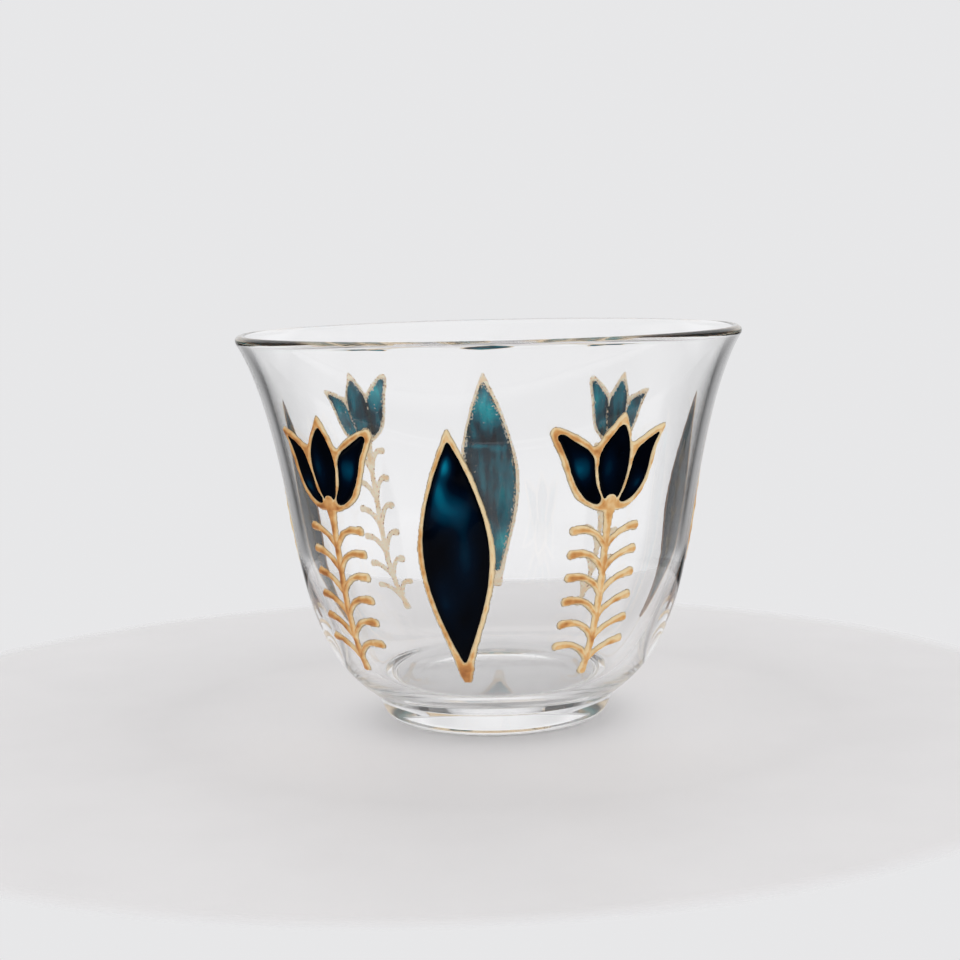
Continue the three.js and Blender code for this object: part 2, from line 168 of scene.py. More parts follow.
def glass_profile():
    """Section of the glass from the middle of the foot out, up the outside, over the rim and down to the
    floor. The foot's underside is a parabola inside the ring that it rests on, and the rim is half a
    circle."""
    bowl, lip = outer_wall(WALL_STEPS)
    corner = np.array([FOOT_RADIUS, 0.0])
    side = unit(HEEL - corner)
    ring_in = FOOT_RADIUS - FOOT_EDGE - REST_RING
    radius = np.linspace(0, ring_in, FOOT_STEPS)
    foot = np.vstack([
        np.stack([radius, RECESS_DEPTH * (1 - (radius / ring_in) ** 2)], axis=-1),
        quadratic(np.array([FOOT_RADIUS - FOOT_EDGE, 0]), corner, corner + side * FOOT_EDGE, CORNER_STEPS),
        quadratic(HEEL - side * HEEL_ROUNDING, HEEL, bowl[0], CORNER_STEPS),
    ])
    start = math.atan2(RIM_NORMAL[1], RIM_NORMAL[0])
    turn = np.linspace(start, start + np.pi, RIM_STEPS)[1:-1]
    rim = RIM_CENTRE + RIM_ROUND * np.stack([np.cos(turn), np.sin(turn)], axis=-1)
    inner_lip, inner_bowl = inner_wall(WALL_STEPS)
    floor = line(np.array([FLOOR_FLAT, FLOOR_HEIGHT]), np.array([0, FLOOR_HEIGHT]), FLOOR_STEPS)
    return np.vstack([foot, bowl[1:], lip[1:], rim, inner_lip, inner_bowl[1:], floor[1:]])


# Ornament laid on the outside of the wall
FINE_WALL_STEPS = 1200
bowl_line, lip_line = outer_wall(FINE_WALL_STEPS)
wall_line = np.vstack([bowl_line, lip_line[1:]])
wall_step = np.hypot(*np.diff(wall_line, axis=0).T)
wall_run = HEEL_ROUNDING + np.concatenate([[0], np.cumsum(wall_step)])
wall_slope = np.gradient(wall_line, wall_run, axis=0)


def on_cup(around, up, lift, bearing):
    """Flat ornament to the cup. The angle is the bearing plus the distance around divided by the wall's
    radius at that distance up, and the point stands off the wall along its normal by the lift."""
    radius = np.interp(up, wall_run, wall_line[:, 0])
    height = np.interp(up, wall_run, wall_line[:, 1])
    out = np.interp(up, wall_run, wall_slope[:, 0])
    rise = np.interp(up, wall_run, wall_slope[:, 1])
    angle = math.radians(bearing) + around / radius
    reach = radius + lift * rise
    return np.stack([reach * np.sin(angle), -reach * np.cos(angle), height - lift * out], axis=-1)


RIPPLE_WAVES = 7
RIPPLE_STRETCH = (0.7, 1.4)


def ripple(around, up, size, seed):
    """Smooth unevenness from -1 to 1: the mean of several sine waves of about the given size, doubled and
    held to that range. Their directions, starts and lengths come from the seed."""
    chance = np.random.default_rng(seed)
    total = 0
    for _ in range(RIPPLE_WAVES):
        facing = chance.uniform(0, 2 * np.pi)
        start = chance.uniform(0, 2 * np.pi)
        stretch = chance.uniform(*RIPPLE_STRETCH)
        across = around * math.cos(facing) + up * math.sin(facing)
        total = total + np.sin(2 * np.pi * across / (size * stretch) + start)
    return np.clip(total / RIPPLE_WAVES * 2, -1, 1)


def smooth_loop(corners, steps):
    """Closed curve through the corners: between two of them, a cubic whose slope at each corner is half the
    step from the corner before to the corner after."""
    here = np.asarray(corners, float)
    before, after, beyond = np.roll(here, 1, 0), np.roll(here, -1, 0), np.roll(here, -2, 0)
    t = (np.arange(steps) / steps)[None, :, None]
    start_slope, end_slope = (after - before)[:, None] / 2, (beyond - here)[:, None] / 2
    here, after = here[:, None], after[:, None]
    curve = ((2 * t ** 3 - 3 * t ** 2 + 1) * here + (t ** 3 - 2 * t ** 2 + t) * start_slope
             + (-2 * t ** 3 + 3 * t ** 2) * after + (t ** 3 - t ** 2) * end_slope)
    return curve.reshape(-1, 2)


PLACES_AT_ONCE = 20000


def depth_inside(around, up, outline):
    """Distance to the nearest side of a closed outline, positive inside it and negative outside. A place is
    inside where a line from it to the right crosses the outline an odd number of times."""
    run = np.roll(outline, -1, 0) - outline
    length = (run ** 2).sum(1)
    depth = np.empty(around.size)
    flat_around, flat_up = around.ravel(), up.ravel()
    for first in range(0, around.size, PLACES_AT_ONCE):
        part = slice(first, first + PLACES_AT_ONCE)
        dx = flat_around[part, None] - outline[:, 0]
        dy = flat_up[part, None] - outline[:, 1]
        share = np.clip((dx * run[:, 0] + dy * run[:, 1]) / length, 0, 1)
        away = (dx - share * run[:, 0]) ** 2 + (dy - share * run[:, 1]) ** 2
        level_with = (dy < 0) != (dy - run[:, 1] < 0)
        crosses = level_with & ((dx * run[:, 1] < dy * run[:, 0]) ^ (run[:, 1] < 0))
        inside = crosses.sum(1) % 2 == 1
        depth[part] = np.sqrt(away.min(1)) * np.where(inside, 1, -1)
    return depth.reshape(around.shape)


LINE_MARGIN = 1.2
FAR_OUTSIDE = -9.0


def depth_in_line(around, up, places, half_widths):
    """How far inside a drawn line a place is: the line's half width minus the distance to its middle, at the
    best place along it. The half width changes evenly from one given place to the next. Places further from
    the line than its margin count as far outside."""
    start, run = places[:-1], np.diff(places, axis=0)
    length = (run ** 2).sum(1)
    near = ((around > places[:, 0].min() - LINE_MARGIN) & (around < places[:, 0].max() + LINE_MARGIN)
            & (up > places[:, 1].min() - LINE_MARGIN) & (up < places[:, 1].max() + LINE_MARGIN))
    dx = around[near][:, None] - start[:, 0]
    dy = up[near][:, None] - start[:, 1]
    share = np.clip((dx * run[:, 0] + dy * run[:, 1]) / length, 0, 1)
    away = np.hypot(dx - share * run[:, 0], dy - share * run[:, 1])
    half = half_widths[:-1] + share * np.diff(half_widths)
    depth = np.full(around.shape, FAR_OUTSIDE)
    depth[near] = (half - away).max(1)
    return depth


PITCH = 0.12
SINK = 0.05


def flat_grid(left, right, bottom, top):
    """Square grid of places, one pitch apart, that covers a rectangle."""
    return np.meshgrid(np.arange(left, right, PITCH), np.arange(bottom, top, PITCH))


def raised_piece(name, around, up, height, shades, bearing):
    """A raised shape on the wall from its height at each place of a flat grid. Where the height is under the
    sink it is held there, inside the glass. The squares that rise above it make the top, the same squares at
    the sink make the back, and both share their outermost points, so the piece is closed. The top takes the
    piece's first material and the back its second, and each shade becomes an attribute of the points."""
    above = height > -SINK
    kept = above[:-1, :-1] | above[1:, :-1] | above[:-1, 1:] | above[1:, 1:]
    rows, columns = np.nonzero(kept)
    width = around.shape[1]
    low = rows * width + columns
    top = np.stack([low, low + 1, low + width + 1, low + width], axis=-1)
    beside = np.pad(kept, 1)
    inner = beside[:-1, :-1] & beside[1:, :-1] & beside[:-1, 1:] & beside[1:, 1:]
    back_index = np.where(inner.ravel(), around.size + np.arange(around.size), np.arange(around.size))
    back = back_index[top][:, ::-1]
    front_points = on_cup(around, up, np.maximum(height, -SINK), bearing).reshape(-1, 3)
    back_points = on_cup(around, up, np.full(up.shape, -SINK), bearing).reshape(-1, 3)
    points = np.vstack([front_points, back_points])
    faces = np.vstack([top, back])
    used, compact = np.unique(faces, return_inverse=True)
    piece = mesh_piece(name, points[used], compact.reshape(-1, 4).tolist())
    side = np.zeros(len(faces), dtype=np.int32)
    side[len(top):] = 1
    piece.data.polygons.foreach_set("material_index", side)
    for label, values in shades.items():
        shade = piece.data.attributes.new(label, "FLOAT", "POINT")
        shade.data.foreach_set("value", np.concatenate([values.ravel()] * 2)[used].astype(np.float32))
    return piece


# Hand-laid line: its height, the width of its rounded edge, and how far and over what size each waver goes
GOLD_HEIGHT = 0.4
GOLD_SHOULDER = 0.42
EDGE_WAVER, EDGE_WAVER_SIZE = 0.05, 1.9
FINE_WAVER, FINE_WAVER_SIZE = 0.02, 0.7
CREST_WAVER_SHARE, CREST_WAVER_SIZE = 0.12, 2.6

# Poured paint: its level, its rounded edge, how it creeps up the line, and its waver
PAINT_HEIGHT = 0.2
PAINT_OVERLAP, PAINT_SHOULDER = 0.12, 0.3
PAINT_CREEP, PAINT_CREEP_WIDTH = 0.07, 0.4
LEVEL_WAVER, LEVEL_WAVER_SIZE = 0.03, 4.5


def bead(depth, around, up, seed):
    """Height of a gold bead: rises as a parabola from its edge to full height one shoulder in, uneven by
    hand. Also gives the wavering depth that it comes from."""
    depth = (depth + EDGE_WAVER * ripple(around, up, EDGE_WAVER_SIZE, seed)
             + FINE_WAVER * ripple(around, up, FINE_WAVER_SIZE, seed + 1))
    full = GOLD_HEIGHT * (1 + CREST_WAVER_SHARE * ripple(around, up, CREST_WAVER_SIZE, seed + 2))
    inward = np.clip(depth / GOLD_SHOULDER, None, 1)
    return np.where(depth > 0, full * (1 - (1 - inward) ** 2), 2 * full / GOLD_SHOULDER * depth), depth


def pool(depth, around, up, seed):
    """Height of paint: a parabola over its shoulder, from under the line's edge, times a level that is uneven
    and falls away from the line as e to the power of minus the depth over the width of the creep."""
    run_in = np.clip((depth + PAINT_OVERLAP) / PAINT_SHOULDER, None, 1)
    level = (PAINT_HEIGHT + PAINT_CREEP * np.exp(-np.maximum(depth, 0) / PAINT_CREEP_WIDTH)
             + LEVEL_WAVER * ripple(around, up, LEVEL_WAVER_SIZE, seed))
    return np.where(run_in > 0, level * (1 - (1 - run_in) ** 2), run_in)


# Common sizes of the leaves. An outline's rows are shares of its length and of its half width.
LEAF_BOTTOM = 8.9
LEAF_TO_RIM = 11.55
LEAF_HALF = 5.35
LEAF_LENGTH = wall_run[-1] - LEAF_TO_RIM - LEAF_BOTTOM
LEAF_LINE = 0.8
LEAF_SOLID_BOTTOM = 3.6
LEAF_SOLID_TOP = 1.75
LEAF_EDGE_SHARES = np.array([
    [0, 0], [0.012, 0.12], [0.11, 0.27], [0.2, 0.46], [0.32, 0.74], [0.42, 0.91], [0.52, 1],
    [0.6, 0.95], [0.69, 0.82], [0.82, 0.55], [0.91, 0.3], [0.98, 0.09], [1, 0],
])
LEAF_POOL_SHARES = np.array([
    [0, 0], [0.015, 0.08], [0.06, 0.2], [0.15, 0.44], [0.27, 0.72], [0.38, 0.91], [0.5, 1],
    [0.6, 0.96], [0.7, 0.83], [0.82, 0.57], [0.91, 0.32], [0.975, 0.11], [1, 0],
])

# Common sizes of the tulips. An outline's rows are shares of the reach and of the height, and how much of the
# lean of the middle tip a point takes.
TULIP_TO_RIM = 10.05
TULIP_HEIGHT = 13.6
TULIP_REACH = 10.0
TULIP_BOTTOM = wall_run[-1] - TULIP_TO_RIM - TULIP_HEIGHT
TULIP_EDGE_SHARES = np.array([
    [0.12, -0.02, 0], [0.36, 0.045, 0], [0.56, 0.155, 0], [0.7, 0.36, 0], [0.82, 0.565, 0],
    [0.97, 0.76, 0], [1, 0.85, 0], [0.94, 0.885, 0], [0.79, 0.85, 0], [0.6, 0.785, 0],
    [0.44, 0.71, 0], [0.32, 0.66, 0], [0.2, 0.8, 0.4], [0.1, 0.92, 0.8], [0, 1, 1],
    [-0.1, 0.9, 0.8], [-0.2, 0.78, 0.4], [-0.28, 0.68, 0], [-0.44, 0.72, 0], [-0.64, 0.795, 0],
    [-0.88, 0.845, 0], [-0.85, 0.765, 0], [-0.77, 0.62, 0], [-0.695, 0.39, 0], [-0.56, 0.16, 0],
    [-0.32, 0.01, 0], [-0.12, -0.02, 0],
])
PETAL_SHARES = {
    "broad": np.array([
        [0.89, 0.785, 0], [0.82, 0.805, 0], [0.62, 0.715, 0], [0.44, 0.635, 0], [0.33, 0.535, 0],
        [0.295, 0.4, 0], [0.25, 0.255, 0], [0.16, 0.12, 0], [0.21, 0.06, 0], [0.38, 0.11, 0],
        [0.52, 0.23, 0], [0.63, 0.38, 0], [0.72, 0.55, 0], [0.82, 0.685, 0],
    ]),
    "centre": np.array([
        [0, 0.875, 0.9], [0.13, 0.755, 0.5], [0.23, 0.6, 0.1], [0.24, 0.425, 0], [0.19, 0.255, 0],
        [0.1, 0.11, 0], [-0.095, 0.105, 0], [-0.2, 0.26, 0], [-0.245, 0.435, 0], [-0.235, 0.595, 0.1],
        [-0.15, 0.755, 0.5],
    ]),
    "slim": np.array([
        [-0.77, 0.755, 0], [-0.56, 0.69, 0], [-0.39, 0.605, 0], [-0.32, 0.465, 0], [-0.275, 0.315, 0],
        [-0.215, 0.18, 0], [-0.15, 0.095, 0], [-0.22, 0.06, 0], [-0.38, 0.11, 0], [-0.53, 0.225, 0],
        [-0.62, 0.375, 0], [-0.655, 0.525, 0], [-0.71, 0.655, 0],
    ]),
}
LOOP_STEPS = 5

# Stem and leaflets: half widths, reach and rise of a leaflet, and how its bend lies between joint and tip
STEM_BOTTOM = 10.0
STEM_HALF = 0.52
CALYX_HALF = 1.15
NECK_HALF = 0.65
STEM_FOOT_HALF = 0.7
STEM_BOW_SHARE = 0.25
STEM_WIDTH_SHARES = [0, 0.1, 0.2, 0.95, 1]
STEM_STEPS = 40
LEAFLET_REACH = 5.1
LEAFLET_RISE = 2.9
LEAFLET_HALF = 0.4
LEAFLET_TIP = 0.62
LEAFLET_FIRST = 1.6
LEAFLET_PITCH = 3.4
LEAFLET_WIDTH_SHARES = [0, 0.6, 1]
LEAFLET_BEND_SHARE = 0.3
BROAD_ARCH_SHARE, SLIM_ARCH_SHARE = 1.2, 0.9
LEAFLET_STEPS = 16

# How far the flat grids reach past what is drawn on them
GRID_MARGIN = 1
FOOT_MARGIN = 1.5

# Tone of the gold from 0, orange, to 1, cream: at a motif's middle, its rise to the right a millimetre, which
# is painted light from the right, and the drop at a leaf's foot and where that fades. A tulip with its broad
# petal on the right is darker all over by the last of these, as painted shade, and one with it on the left is
# lighter, as painted light.
LEAF_TONE, LEAF_LIGHT_ACROSS, LEAF_FOOT_TONE = 0.7, 0.07, 0.6
LEAF_FOOT_ABOVE, LEAF_FOOT_FADE = 2, 4
TULIP_TONE, TULIP_LIGHT_ACROSS, TULIP_SIDE_LIGHT = 0.45, 0.03, 0.2

# The motifs round the cup. Bearings and tilts are in degrees. Side is where the broad petal lies, 1 for right
# and -1 for left. Flood is how far the paint covers the line round it, in millimetres. Clear, from 0 to 1, is
# painted light: how bright the backs of line and paint are painted behind the glass, low for painted shade on
# the side leaves. The rest are shares of the common sizes.
LEAVES = [
    dict(name="front_leaf", bearing=-9.3, lean=-0.09, wide=1.0, raised=0.0, clear=1.0),
    dict(name="right_leaf", bearing=98.5, lean=0.06, wide=1.01, raised=0.04, clear=0.1),
    dict(name="back_leaf", bearing=178.5, lean=0.38, wide=0.94, raised=0.115, clear=1.0),
    dict(name="left_leaf", bearing=-99.5, lean=0.04, wide=0.99, raised=0.04, clear=0.1),
]
FRONT_TWIG = dict(pitch=1, rise=1, broad_reach=1, slim_reach=1, thick=1)
BACK_TWIG = dict(pitch=1.35, rise=1.25, broad_reach=0.5, slim_reach=0.7, thick=0.8)
TULIPS = [
    dict(name="front_left_tulip", bearing=-46.7, side=1, lean=0.08, sway=-0.06,
         wide=1, tall=1, raised=0, tilt=0, twig=FRONT_TWIG, flood=0),
    dict(name="front_right_tulip", bearing=31.5, side=-1, lean=-0.09, sway=0.09,
         wide=1, tall=1, raised=0, tilt=0, twig=FRONT_TWIG, flood=0),
    dict(name="back_right_tulip", bearing=140.5, side=1, lean=0.03, sway=0.16,
         wide=0.68, tall=0.86, raised=0.34, tilt=-7, twig=BACK_TWIG, flood=0.22),
    dict(name="back_left_tulip", bearing=-139.4, side=-1, lean=0.04, sway=0.16,
         wide=0.74, tall=0.86, raised=0.41, tilt=8, twig=BACK_TWIG, flood=0.28),
]

# Seeds of the first leaf and the first tulip, and the step to the next. A bead takes three, a pool one.
LEAF_SEED, TULIP_SEED, SEED_STEP = 100, 300, 20

# Spots of light in the paint of a pool: middle across and up, reach across and up, in shares of the pool's
# half width and length, and strength. Glows are seen from outside, shines through the glass.
LEAF_GLOW_SHARES = [
    (-0.2, 0.9, 0.2, 0.05, 0.85), (-0.42, 0.79, 0.26, 0.07, 0.55), (-0.1, 0.7, 0.62, 0.075, 0.5),
    (0.3, 0.5, 0.3, 0.16, 0.26), (-0.35, 0.3, 0.4, 0.16, 0.18),
]
PETAL_GLOW_SHARES = {
    "broad": [(-0.05, 0.5, 0.55, 0.17, 0.52)],
    "centre": [(-0.4, 0.45, 0.5, 0.2, 0.26)],
    "slim": [(0.1, 0.25, 0.5, 0.12, 0.3)],
}
LEAF_SHINE_SHARES = [
    (-0.1, 0.84, 0.8, 0.11, 0.6), (0.35, 0.662, 0.5, 0.012, 0.5), (-0.3, 0.648, 0.5, 0.02, 0.45),
    (-0.3, 0.6, 0.4, 0.05, 0.25), (-0.2, 0.17, 0.9, 0.075, 0.5), (-0.5, 0.36, 0.3, 0.1, 0.3),
]
PETAL_SHINE_SHARES = [(0.1, 0.7, 0.9, 0.24, 0.45), (-0.3, 0.2, 0.7, 0.12, 0.3)]


def light_in(around, up, outline, spots):
    """Light in a pool from 0 to 1: the sum of soft spots, each a bell curve of the distance from its
    middle."""
    low, high = outline.min(0), outline.max(0)
    across = (around - (low[0] + high[0]) / 2) / (high[0] - low[0]) * 2
    share = (up - low[1]) / (high[1] - low[1])
    total = 0
    for middle, level, reach, height, strength in spots:
        total = total + strength * np.exp(-((across - middle) / reach) ** 2 - ((share - level) / height) ** 2)
    return np.clip(total, 0, 1)


def leaf_outline(shares, bottom, length, half, lean):
    """Leaf edge up the right side and down the left: each height share lies its width share either side of
    the middle, which leans evenly with height."""
    middle, width = lean * shares[:, 0], shares[:, 1] * half
    height = bottom + shares[:, 0] * length
    right = np.stack([middle + width, height], axis=-1)
    left = np.stack([middle - width, height], axis=-1)
    return smooth_loop(np.vstack([right, left[-2:0:-1]]), LOOP_STEPS)


def make_leaf(name, bearing, lean, wide, raised, clear, seed):
    """Gold: a bead as deep as a place is inside the edge and outside the pool. Paint: a pool inside its
    outline."""
    lean, half = lean * LEAF_HALF, LEAF_HALF * wide
    bottom = LEAF_BOTTOM + raised * LEAF_LENGTH
    top = bottom + LEAF_LENGTH
    spread = half + abs(lean) + GRID_MARGIN
    around, up = flat_grid(-spread, spread, bottom - GRID_MARGIN, top + GRID_MARGIN)
    edge = depth_inside(around, up, leaf_outline(LEAF_EDGE_SHARES, bottom, LEAF_LENGTH, half, lean))
    pool_bottom = bottom + LEAF_SOLID_BOTTOM
    pool_length = LEAF_LENGTH - LEAF_SOLID_BOTTOM - LEAF_SOLID_TOP
    pool_line = leaf_outline(LEAF_POOL_SHARES, pool_bottom, pool_length, half - LEAF_LINE, lean)
    inner = depth_inside(around, up, pool_line)
    height, depth = bead(np.minimum(edge, -inner), around, up, seed)
    foot = np.clip((pool_bottom + LEAF_FOOT_ABOVE - up) / LEAF_FOOT_FADE, 0, 1)
    # Tone with painted light: the gold turns cream towards the right, as if lit from that side.
    tone_and_light = np.clip(LEAF_TONE + LEAF_LIGHT_ACROSS * around - LEAF_FOOT_TONE * foot, 0, 1)
    # Painted light and shade behind the glass: bright backs for front and back leaves, dark for the side
    # leaves.
    painted_backlight = np.full(up.shape, clear)
    gold_shades = {"edge": depth, "tone_and_light": tone_and_light, "clear": painted_backlight}
    gold = raised_piece(name + "_gold_bead", around, up, height, gold_shades, bearing)
    paint_shades = {
        "edge": inner,
        "glow": light_in(around, up, pool_line, LEAF_GLOW_SHARES),
        "shine": light_in(around, up, pool_line, LEAF_SHINE_SHARES),
        "clear": painted_backlight,
    }
    level = pool(inner, around, up, seed + 3)
    paint = raised_piece(name + "_teal_pool", around, up, level, paint_shades, bearing)
    return [(gold, name + "_gold_line", "gold_line"), (paint, name + "_teal_paint", "teal_paint")]


def tulip_outline(shares, side, lean, reach, bottom, height, tilt):
    """Outline of the flower or of one petal's pool, mirrored by its side and turned about the foot of the
    flower."""
    across = side * (shares[:, 0] + shares[:, 2] * lean) * reach
    rise = shares[:, 1] * height
    turn = math.radians(tilt)
    turned_across = across * math.cos(turn) + rise * math.sin(turn)
    turned_up = rise * math.cos(turn) - across * math.sin(turn) + bottom
    return smooth_loop(np.stack([turned_across, turned_up], axis=-1), LOOP_STEPS)


def twig_depth(around, up, side, sway, top, twig):
    """How far inside the stem or a leaflet a place is, the greatest depth counting. The stem bends once from
    the flower to its foot, and pairs of leaflets leave it at even heights, each bending once to its tip."""
    drift = side * sway * TULIP_REACH
    bow = np.array([drift * STEM_BOW_SHARE, (top + STEM_BOTTOM) / 2])
    stem = quadratic(np.array([0, top]), bow, np.array([drift, STEM_BOTTOM]), STEM_STEPS)
    half = STEM_HALF * twig["thick"]
    stem_halves = [CALYX_HALF, NECK_HALF, half, half, STEM_FOOT_HALF * twig["thick"]]
    depth = depth_in_line(
        around, up, stem, np.interp(np.linspace(0, 1, STEM_STEPS), STEM_WIDTH_SHARES, stem_halves))
    leaflet, tip_half = LEAFLET_HALF * twig["thick"], LEAFLET_TIP * twig["thick"]
    leaflet_halves = np.interp(
        np.linspace(0, 1, LEAFLET_STEPS), LEAFLET_WIDTH_SHARES, [leaflet, leaflet, tip_half])
    sides = ((side * twig["broad_reach"], BROAD_ARCH_SHARE), (-side * twig["slim_reach"], SLIM_ARCH_SHARE))
    pairs = int((top - STEM_BOTTOM - LEAFLET_FIRST) / (LEAFLET_PITCH * twig["pitch"]))
    for pair in range(pairs):
        level = STEM_BOTTOM + LEAFLET_FIRST + pair * LEAFLET_PITCH * twig["pitch"]
        joint = np.array([np.interp(level, stem[::-1, 1], stem[::-1, 0]), level])
        for reach, arch in sides:
            out = np.array([reach * LEAFLET_REACH, LEAFLET_RISE * twig["rise"]])
            bend, tip = joint + np.array([LEAFLET_BEND_SHARE, arch]) * out, joint + out
            curve = quadratic(joint, bend, tip, LEAFLET_STEPS)
            depth = np.maximum(depth, depth_in_line(around, up, curve, leaflet_halves))
    return depth


def make_tulip(name, bearing, side, lean, sway, wide, tall, raised, tilt, twig, flood, seed):
    """Gold: the flower's edge outside its pools, the stem and the leaflets, of whose depths the greatest
    counts. Paint: one pool in each petal."""
    bottom = TULIP_BOTTOM + raised * TULIP_HEIGHT
    height = TULIP_HEIGHT * tall
    sizes = (side, lean, TULIP_REACH * wide, bottom, height, tilt)
    spread = TULIP_REACH + GRID_MARGIN
    around, up = flat_grid(-spread, spread, STEM_BOTTOM - FOOT_MARGIN, bottom + height + GRID_MARGIN)
    gold = depth_inside(around, up, tulip_outline(TULIP_EDGE_SHARES, *sizes))
    outlines = {petal: tulip_outline(shares, *sizes) for petal, shares in PETAL_SHARES.items()}
    pools = {petal: depth_inside(around, up, outline) + flood for petal, outline in outlines.items()}
    for inner in pools.values():
        gold = np.minimum(gold, -inner)
    gold = np.maximum(gold, twig_depth(around, up, side, sway, bottom + 2 * STEM_HALF, twig))
    crest, depth = bead(gold, around, up, seed)
    # Tone with painted light: cream towards the right, and the tulips on the right painted as lit.
    tone_and_light = np.clip(TULIP_TONE - TULIP_SIDE_LIGHT * side + TULIP_LIGHT_ACROSS * around, 0, 1)
    # Painted light behind the glass: the tulips' backs are all painted bright.
    painted_backlight = np.ones(up.shape)
    gold_shades = {"edge": depth, "tone_and_light": tone_and_light, "clear": painted_backlight}
    line_piece = raised_piece(name + "_gold_bead", around, up, crest, gold_shades, bearing)
    made = [(line_piece, name + "_gold_line", "gold_line")]
    for step, (petal, inner) in enumerate(pools.items()):
        paint_shades = {
            "edge": inner,
            "glow": light_in(around, up, outlines[petal], PETAL_GLOW_SHARES[petal]),
            "shine": light_in(around, up, outlines[petal], PETAL_SHINE_SHARES),
            "clear": painted_backlight,
        }
        level = pool(inner, around, up, seed + 4 + step)
        paint = raised_piece(f"{name}_{petal}_petal_pool", around, up, level, paint_shades, bearing)
        made.append((paint, f"{name}_{petal}_petal_paint", "teal_paint"))
    return made


# Materials
def new_material(name):
    """An empty node material with its output and shader."""
    material = bpy.data.materials.new(name)
    material.use_nodes = True
    nodes, links = material.node_tree.nodes, material.node_tree.links
    nodes.clear()
    shader = nodes.new("ShaderNodeBsdfPrincipled")
    links.new(shader.outputs["BSDF"], nodes.new("ShaderNodeOutputMaterial").inputs["Surface"])
    return material, nodes, links, shader


def noise_at(nodes, links, source, scale, detail, stretch=(1, 1, 1)):
    """Noise on the given coordinates, stretched by the mapping."""
    mapping = nodes.new("ShaderNodeMapping")
    mapping.inputs["Scale"].default_value = stretch
    links.new(source, mapping.inputs["Vector"])
    noise = nodes.new("ShaderNodeTexNoise")
    noise.inputs["Scale"].default_value = scale
    noise.inputs["Detail"].default_value = detail
    links.new(mapping.outputs["Vector"], noise.inputs["Vector"])
    return noise.outputs["Fac"]


def ramp_of(nodes, links, source, stops):
    """Colours along a value: each stop is its place and its colour."""
    ramp = nodes.new("ShaderNodeValToRGB")
    while len(ramp.color_ramp.elements) < len(stops):
        ramp.color_ramp.elements.new(0.5)
    for element, (place, colour) in zip(ramp.color_ramp.elements, stops):
        element.position = place
        element.color = (*colour, 1)
    links.new(source, ramp.inputs["Fac"])
    return ramp.outputs["Color"]


def bump_from(nodes, links, source, shader, strength, distance):
    """Bump of the given depth in metres."""
    bump = nodes.new("ShaderNodeBump")
    bump.inputs["Strength"].default_value = strength
    bump.inputs["Distance"].default_value = distance
    links.new(source, bump.inputs["Height"])
    links.new(bump.outputs["Normal"], shader.inputs["Normal"])


def attribute(nodes, name):
    """Value of an attribute of the piece's points."""
    node = nodes.new("ShaderNodeAttribute")
    node.attribute_name = name
    return node.outputs["Fac"]


def scaled(nodes, links, source, low, high, to_low=0.0, to_high=1.0):
    """Value moved from one range to another and held inside it."""
    node = nodes.new("ShaderNodeMapRange")
    for name, value in (("From Min", low), ("From Max", high), ("To Min", to_low), ("To Max", to_high)):
        node.inputs[name].default_value = value
    links.new(source, node.inputs["Value"])
    return node.outputs["Result"]


def plus(nodes, links, first, factor, second):
    """The first value times the factor plus the second value."""
    node = nodes.new("ShaderNodeMath")
    node.operation = "MULTIPLY_ADD"
    links.new(first, node.inputs[0])
    node.inputs[1].default_value = factor
    links.new(second, node.inputs[2])
    return node.outputs[0]


def joined(nodes, links, way, first, second):
    """Two values multiplied, or the larger of them, as the way says."""
    node = nodes.new("ShaderNodeMath")
    node.operation = way
    links.new(first, node.inputs[0])
    links.new(second, node.inputs[1])
    return node.outputs[0]


def mixed(nodes, links, share, first, second):
    """The first colour where the share is 0 and the second where it is 1."""
    node = nodes.new("ShaderNodeMix")
    node.data_type = "RGBA"
    links.new(share, node.inputs["Factor"])
    for name, colour in (("A", first), ("B", second)):
        socket = [x for x in node.inputs if x.name == name and x.type == "RGBA"][0]
        if isinstance(colour, tuple):
            socket.default_value = (*colour, 1)
        else:
            links.new(colour, socket)
    return [x for x in node.outputs if x.type == "RGBA"][0]


def clear_glass():
    """Clear pressed glass: nearly perfect polish with faint long waves."""
    material, nodes, links, shader = new_material("clear_glass")
    shader.inputs["Base Color"].default_value = (1, 1, 1, 1)
    shader.inputs["Transmission Weight"].default_value = 1
    shader.inputs["IOR"].default_value = 1.5
    coords = nodes.new("ShaderNodeTexCoord").outputs["Object"]
    cloud = noise_at(nodes, links, coords, scale=120, detail=2)
    polish = scaled(nodes, links, cloud, low=0.3, high=0.8, to_low=0, to_high=0.02)
    links.new(polish, shader.inputs["Roughness"])
    waves = noise_at(nodes, links, coords, scale=90, detail=1, stretch=(1, 1, 0.35))
    bump_from(nodes, links, waves, shader, strength=0.25, distance=0.00012)
    return material


